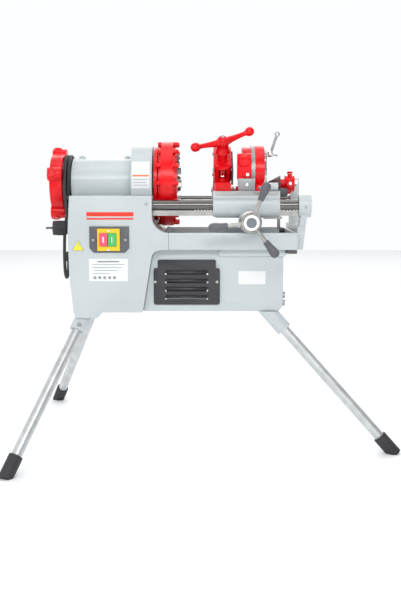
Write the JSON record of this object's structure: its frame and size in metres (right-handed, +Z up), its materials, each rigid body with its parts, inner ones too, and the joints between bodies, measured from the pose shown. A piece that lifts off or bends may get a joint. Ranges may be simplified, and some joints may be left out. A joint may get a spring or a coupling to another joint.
{
  "type": "pipe threading machine",
  "caption": "Portable electric pipe threading machine on three tube legs, with hammer chuck, carriage, pipe cutter, die head and reamer.",
  "frame": {"origin": "floor level below the middle of the object without its cord", "axes": "+X along the spindle towards the reamer, +Y to the back, +Z up"},
  "size_m": [0.9602, 0.8084, 0.81],
  "materials": {
    "grey_paint": "satin hammered light grey enamel on cast metal",
    "red_paint": "gloss red enamel on cast metal",
    "steel": "machined and oiled steel",
    "bright_steel": "bright plated steel",
    "galvanised": "dull galvanised tube",
    "black_sheet": "black powder coat",
    "dark_plastic": "matt dark grey moulded plastic",
    "yellow_plastic": "satin moulded plastic",
    "red_plastic": "satin moulded plastic",
    "green_plastic": "satin moulded plastic",
    "rubber": "matt black rubber"
  },
  "bodies": {
    "frame": {"cabinet": "grey_paint", "tray": "grey_paint", "end_support": "grey_paint", "motor_box": "grey_paint", "rear_cover": "black_sheet", "spindle_housing": "grey_paint", "gear_case": "grey_paint", "bearings": "steel", "oilers": "grey_paint", "rails": "steel", "rack": "steel", "fasteners": "steel", "louvre_cover": "black_sheet", "switch_plate": "dark_plastic", "switch_face": "yellow_plastic", "motor_stator": "black_sheet", "oil_pump": "black_sheet", "cord_gland": "rubber", "leg_sockets": "grey_paint", "leg_tubes": "galvanised", "boot_front_left": "rubber", "boot_rear_left": "rubber", "boot_right": "rubber", "cord_coil": "rubber", "cord_lead": "rubber", "plug": "rubber"},
    "on_button": {"on_button": "green_plastic"},
    "off_button": {"off_button": "red_plastic"},
    "spindle": {"spindle_tube": "steel", "spindle_gear": "steel", "front_chuck_body": "red_paint", "rear_chuck_body": "red_paint"},
    "hammer_wheel": {"hammer_wheel": "red_paint"},
    "rear_wheel": {"rear_wheel": "red_paint"},
    "idler": {"idler_gear": "steel"},
    "rotor": {"motor_rotor": "steel"},
    "carriage": {"carriage": "grey_paint", "carriage_fittings": "steel"},
    "star_wheel": {"star_wheel": "bright_steel", "star_grips": "dark_plastic"},
    "cutter": {"cutter_frame": "red_paint"},
    "cutter_roller_1": {"cutter_roller_1": "bright_steel"},
    "cutter_roller_2": {"cutter_roller_2": "bright_steel"},
    "cutter_slide": {"cutter_slide": "steel"},
    "cutter_wheel": {"cutter_wheel": "bright_steel"},
    "cutter_handle": {"cutter_handle": "red_paint"},
    "die_head": {"die_head": "red_paint"},
    "die_cam": {"die_cam": "steel"},
    "reamer": {"reamer": "red_paint", "reamer_cone": "steel"},
    "front_jaw_1": {"front_jaw_1": "bright_steel"},
    "rear_jaw_1": {"rear_jaw_1": "bright_steel"},
    "front_jaw_2": {"front_jaw_2": "bright_steel"},
    "rear_jaw_2": {"rear_jaw_2": "bright_steel"},
    "front_jaw_3": {"front_jaw_3": "bright_steel"},
    "rear_jaw_3": {"rear_jaw_3": "bright_steel"},
    "die_1": {"die_1": "steel"},
    "die_2": {"die_2": "steel"},
    "die_3": {"die_3": "steel"},
    "die_4": {"die_4": "steel"}
  },
  "joints": [
    {"name": "spindle_spin", "type": "hinge", "parent": "frame", "child": "spindle", "pos_m": [0, 0, 0.667], "axis": [1, 0, 0], "continuous": true},
    {"name": "idler_spin", "type": "hinge", "parent": "frame", "child": "idler", "pos_m": [-0.175, 0, 0.512], "axis": [1, 0, 0], "continuous": true},
    {"name": "rotor_spin", "type": "hinge", "parent": "frame", "child": "rotor", "pos_m": [-0.03, 0, 0.422], "axis": [1, 0, 0], "continuous": true},
    {"name": "hammer_turn", "type": "hinge", "parent": "spindle", "child": "hammer_wheel", "pos_m": [-0.1, 0, 0.667], "axis": [1, 0, 0], "range_deg": [0, 70]},
    {"name": "rear_wheel_turn", "type": "hinge", "parent": "spindle", "child": "rear_wheel", "pos_m": [-0.385, 0, 0.667], "axis": [1, 0, 0], "range_deg": [0, 60]},
    {"name": "front_jaw_1_slide", "type": "slide", "parent": "spindle", "child": "front_jaw_1", "axis": [0, 0.5, -0.866], "range_m": [0, 0.0201]},
    {"name": "rear_jaw_1_slide", "type": "slide", "parent": "spindle", "child": "rear_jaw_1", "axis": [0, 0.5, -0.866], "range_m": [0, 0.0131]},
    {"name": "front_jaw_2_slide", "type": "slide", "parent": "spindle", "child": "front_jaw_2", "axis": [0, 0.5, 0.866], "range_m": [0, 0.0201]},
    {"name": "rear_jaw_2_slide", "type": "slide", "parent": "spindle", "child": "rear_jaw_2", "axis": [0, 0.5, 0.866], "range_m": [0, 0.0131]},
    {"name": "front_jaw_3_slide", "type": "slide", "parent": "spindle", "child": "front_jaw_3", "axis": [0, -1, 0], "range_m": [0, 0.0201]},
    {"name": "rear_jaw_3_slide", "type": "slide", "parent": "spindle", "child": "rear_jaw_3", "axis": [0, -1, 0], "range_m": [0, 0.0131]},
    {"name": "carriage_slide", "type": "slide", "parent": "frame", "child": "carriage", "axis": [1, 0, 0], "range_m": [-0.04, 0.03]},
    {"name": "star_turn", "type": "hinge", "parent": "carriage", "child": "star_wheel", "pos_m": [0.1022, -0.2, 0.5744], "axis": [0, 1, 0], "range_deg": [-116, 154]},
    {"name": "cutter_swing", "type": "hinge", "parent": "carriage", "child": "cutter", "pos_m": [0.1, 0.084, 0.65], "axis": [-1, 0, 0], "range_deg": [0, 95]},
    {"name": "die_head_swing", "type": "hinge", "parent": "carriage", "child": "die_head", "pos_m": [0.1, 0.084, 0.65], "axis": [-1, 0, 0], "range_deg": [0, 95]},
    {"name": "reamer_swing", "type": "hinge", "parent": "carriage", "child": "reamer", "pos_m": [0.1, 0.084, 0.65], "axis": [-1, 0, 0], "range_deg": [0, 95]},
    {"name": "cutter_feed", "type": "slide", "parent": "cutter", "child": "cutter_slide", "axis": [0, 0.5736, -0.8192], "range_m": [0, 0.0151]},
    {"name": "cutter_handle_turn", "type": "hinge", "parent": "cutter_slide", "child": "cutter_handle", "pos_m": [0.038, -0.05736, 0.74891], "axis": [0, 0.5736, -0.8192], "range_deg": [0, 1800]},
    {"name": "cutter_wheel_spin", "type": "hinge", "parent": "cutter_slide", "child": "cutter_wheel", "pos_m": [0.038, -0.02466, 0.70222], "axis": [1, 0, 0], "continuous": true},
    {"name": "cutter_roller_1_spin", "type": "hinge", "parent": "cutter", "child": "cutter_roller_1", "pos_m": [0.038, 0.01393, 0.62792], "axis": [1, 0, 0], "continuous": true},
    {"name": "cutter_roller_2_spin", "type": "hinge", "parent": "cutter", "child": "cutter_roller_2", "pos_m": [0.038, 0.03359, 0.64169], "axis": [1, 0, 0], "continuous": true},
    {"name": "die_cam_turn", "type": "hinge", "parent": "die_head", "child": "die_cam", "pos_m": [0.1485, 0, 0.667], "axis": [-1, 0, 0], "range_deg": [0, 35]},
    {"name": "die_1_slide", "type": "slide", "parent": "die_head", "child": "die_1", "axis": [0, -0.7071, 0.7071], "range_m": [0, 0.0061]},
    {"name": "die_2_slide", "type": "slide", "parent": "die_head", "child": "die_2", "axis": [0, -0.7071, -0.7071], "range_m": [0, 0.0061]},
    {"name": "die_3_slide", "type": "slide", "parent": "die_head", "child": "die_3", "axis": [0, 0.7071, -0.7071], "range_m": [0, 0.0061]},
    {"name": "die_4_slide", "type": "slide", "parent": "die_head", "child": "die_4", "axis": [0, 0.7071, 0.7071], "range_m": [0, 0.0061]},
    {"name": "on_button_press", "type": "slide", "parent": "frame", "child": "on_button", "axis": [0, 1, 0], "range_m": [0, 0.003], "stiffness_N_per_m": 600, "springref_m": -0.001},
    {"name": "off_button_press", "type": "slide", "parent": "frame", "child": "off_button", "axis": [0, 1, 0], "range_m": [0, 0.003], "stiffness_N_per_m": 600, "springref_m": -0.001}
  ],
  "couplings": [
    {"joint": "idler_spin", "follows": "spindle_spin", "ratio": -1.0667},
    {"joint": "rotor_spin", "follows": "spindle_spin", "ratio": 5.3333},
    {"joint": "front_jaw_1_slide", "follows": "hammer_turn", "m_per_rad": 0.01637},
    {"joint": "rear_jaw_1_slide", "follows": "rear_wheel_turn", "m_per_rad": 0.012414},
    {"joint": "front_jaw_2_slide", "follows": "hammer_turn", "m_per_rad": 0.01637},
    {"joint": "rear_jaw_2_slide", "follows": "rear_wheel_turn", "m_per_rad": 0.012414},
    {"joint": "front_jaw_3_slide", "follows": "hammer_turn", "m_per_rad": 0.01637},
    {"joint": "rear_jaw_3_slide", "follows": "rear_wheel_turn", "m_per_rad": 0.012414},
    {"joint": "star_turn", "follows": "carriage_slide", "rad_per_m": -66.667},
    {"joint": "cutter_feed", "follows": "cutter_handle_turn", "m_per_rad": 0.00047746},
    {"joint": "die_1_slide", "follows": "die_cam_turn", "m_per_rad": 0.0098221},
    {"joint": "die_2_slide", "follows": "die_cam_turn", "m_per_rad": 0.0098221},
    {"joint": "die_3_slide", "follows": "die_cam_turn", "m_per_rad": 0.0098221},
    {"joint": "die_4_slide", "follows": "die_cam_turn", "m_per_rad": 0.0098221}
  ]
}
